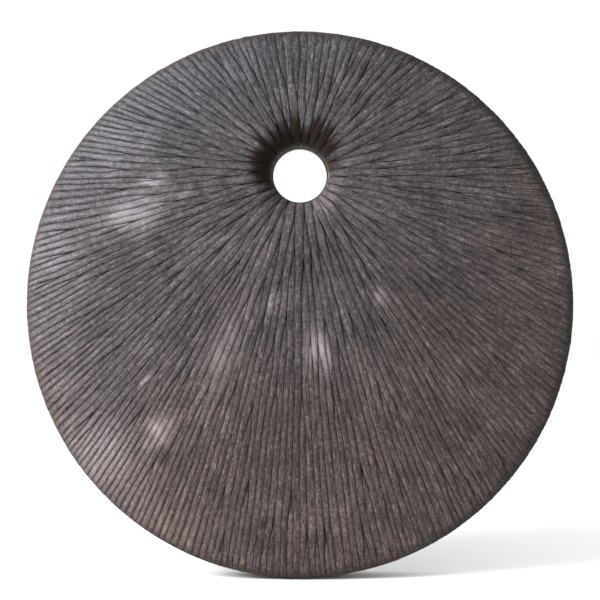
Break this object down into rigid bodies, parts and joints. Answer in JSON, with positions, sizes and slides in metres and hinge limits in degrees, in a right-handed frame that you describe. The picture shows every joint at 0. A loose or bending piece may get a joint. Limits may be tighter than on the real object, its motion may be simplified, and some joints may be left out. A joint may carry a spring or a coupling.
{
  "type": "felt polishing wheel",
  "caption": "Round face-type polishing wheel of radial felt leaves on a stiff backing disc, with an off-centre bushed bore.",
  "frame": {"origin": "on the bore axis, at the back face of the backing disc", "axes": "+Y along the bore axis and out of the back, so the felt faces -Y; +Z from the disc's centre through the bore; +X to the right seen from the felt side"},
  "size_m": [0.2006, 0.0215, 0.2],
  "materials": {
    "felt": "fuzzy charcoal wool felt, ribbed",
    "fibre_laminate": "pressed fibre laminate, matte",
    "adhesive": "cured contact adhesive",
    "bush_steel": "zinc-plated, dull"
  },
  "bodies": {
    "root": {"adhesive_film": "adhesive", "backing_disc": "fibre_laminate", "bore_bush": "bush_steel", "bush_washer": "bush_steel", "long_leaf_01": "felt", "long_leaf_02": "felt", "long_leaf_03": "felt", "long_leaf_04": "felt", "long_leaf_05": "felt", "long_leaf_06": "felt", "long_leaf_07": "felt", "long_leaf_08": "felt", "long_leaf_09": "felt", "long_leaf_10": "felt", "long_leaf_11": "felt", "long_leaf_12": "felt", "long_leaf_13": "felt", "long_leaf_14": "felt", "long_leaf_15": "felt", "long_leaf_16": "felt", "long_leaf_17": "felt", "long_leaf_18": "felt", "long_leaf_19": "felt", "long_leaf_20": "felt", "long_leaf_21": "felt", "long_leaf_22": "felt", "long_leaf_23": "felt", "long_leaf_24": "felt", "long_leaf_25": "felt", "long_leaf_26": "felt", "long_leaf_27": "felt", "short_leaves_01": "felt", "short_leaves_02": "felt", "short_leaves_03": "felt", "short_leaves_04": "felt", "short_leaves_05": "felt", "short_leaves_06": "felt", "short_leaves_07": "felt", "short_leaves_08": "felt", "short_leaves_09": "felt", "short_leaves_10": "felt", "short_leaves_11": "felt", "short_leaves_12": "felt", "short_leaves_13": "felt", "short_leaves_14": "felt", "short_leaves_15": "felt", "short_leaves_16": "felt", "short_leaves_17": "felt", "short_leaves_18": "felt", "short_leaves_19": "felt", "short_leaves_20": "felt", "short_leaves_21": "felt", "short_leaves_22": "felt", "short_leaves_23": "felt", "short_leaves_24": "felt", "short_leaves_25": "felt", "short_leaves_26": "felt", "short_leaves_27": "felt"}
  },
  "joints": []
}
